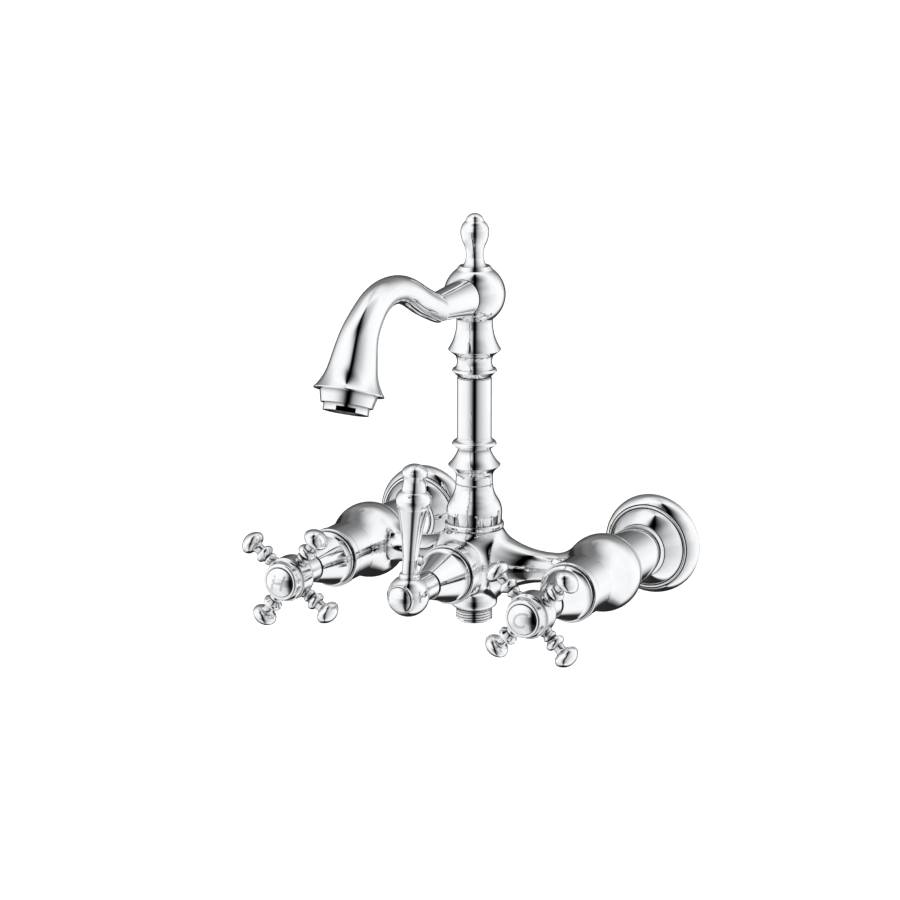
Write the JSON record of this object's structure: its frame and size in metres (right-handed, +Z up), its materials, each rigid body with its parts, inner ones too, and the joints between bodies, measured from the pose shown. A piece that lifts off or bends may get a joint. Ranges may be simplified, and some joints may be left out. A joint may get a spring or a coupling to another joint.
{
  "type": "shower mixer",
  "caption": "Wall-mounted bath and shower mixer with cross-handle taps, a diverter lever, a hose outlet and a swan-neck spout that swivels on a turned column.",
  "frame": {"origin": "on the wall plane, midway between the axes of the two wall inlets", "axes": "+X to the right seen from the front, +Y into the wall, +Z up"},
  "size_m": [0.2088, 0.2581, 0.2343],
  "materials": {
    "chrome_body": "polished chrome plate on brass",
    "chrome_spout": "polished chrome plate on brass",
    "chrome_lever": "polished chrome plate on brass",
    "chrome_trim": "polished chrome plate on brass",
    "chrome_handle": "polished chrome plate on brass",
    "index_cap": "polished chrome with a lightly engraved letter",
    "brass": "bare turned brass",
    "rubber": "black sealing rubber",
    "ceramic": "lapped ceramic",
    "steel": "turned stainless steel",
    "bearing_plastic": "white bearing plastic",
    "jet_plastic": "grey moulded plastic"
  },
  "bodies": {
    "fixed": {"mixer_body": "chrome_body", "hose_nipple": "chrome_body", "spout_base_nut": "chrome_body", "swivel_glide_ring": "bearing_plastic", "swivel_washer": "bearing_plastic", "diverter_bonnet": "chrome_lever", "diverter_headwork": "brass", "hot_wall_flange": "chrome_trim", "hot_inlet_nipple": "brass", "hot_inlet_washer": "rubber", "hot_headwork": "brass", "hot_seat_seal": "rubber", "hot_fixed_disc": "ceramic", "hot_bonnet": "chrome_trim", "cold_wall_flange": "chrome_trim", "cold_inlet_nipple": "brass", "cold_inlet_washer": "rubber", "cold_headwork": "brass", "cold_seat_seal": "rubber", "cold_fixed_disc": "ceramic", "cold_bonnet": "chrome_trim"},
    "diverter": {"diverter_plug": "brass", "diverter_spindle_rings": "rubber", "lever_hub": "chrome_lever", "lever_arm": "chrome_lever", "lever_screw": "steel", "lever_hub_cap": "chrome_lever"},
    "spout": {"riser_spigot": "brass", "swivel_rings": "rubber", "lower_ferrule": "chrome_spout", "riser_tube": "chrome_spout", "upper_ferrule": "chrome_spout", "spout_ball": "chrome_spout", "finial": "chrome_spout", "spout_neck": "chrome_spout", "aerator_housing": "chrome_spout", "aerator_insert": "jet_plastic", "aerator_washer": "rubber"},
    "hot_handle": {"hot_moving_disc": "ceramic", "hot_spindle": "brass", "hot_spindle_rings": "rubber", "hot_handle_hub": "chrome_handle", "hot_handle_arms": "chrome_handle", "hot_handle_screw": "steel", "hot_cap_ring": "chrome_handle", "hot_index_cap": "index_cap"},
    "cold_handle": {"cold_moving_disc": "ceramic", "cold_spindle": "brass", "cold_spindle_rings": "rubber", "cold_handle_hub": "chrome_handle", "cold_handle_arms": "chrome_handle", "cold_handle_screw": "steel", "cold_cap_ring": "chrome_handle", "cold_index_cap": "index_cap"}
  },
  "joints": [
    {"name": "hot_turn", "type": "hinge", "parent": "fixed", "child": "hot_handle", "pos_m": [-0.075, -0.1614, 0], "axis": [0, -1, 0], "range_deg": [0, 90]},
    {"name": "cold_turn", "type": "hinge", "parent": "fixed", "child": "cold_handle", "pos_m": [0.075, -0.1614, 0], "axis": [0, -1, 0], "range_deg": [-90, 0]},
    {"name": "diverter_turn", "type": "hinge", "parent": "fixed", "child": "diverter", "pos_m": [0, -0.1614, 0], "axis": [0, -1, 0], "range_deg": [-45, 45]},
    {"name": "spout_swivel", "type": "hinge", "parent": "fixed", "child": "spout", "pos_m": [0, -0.083, 0.046], "axis": [0, 0, 1], "range_deg": [-90, 90]}
  ]
}
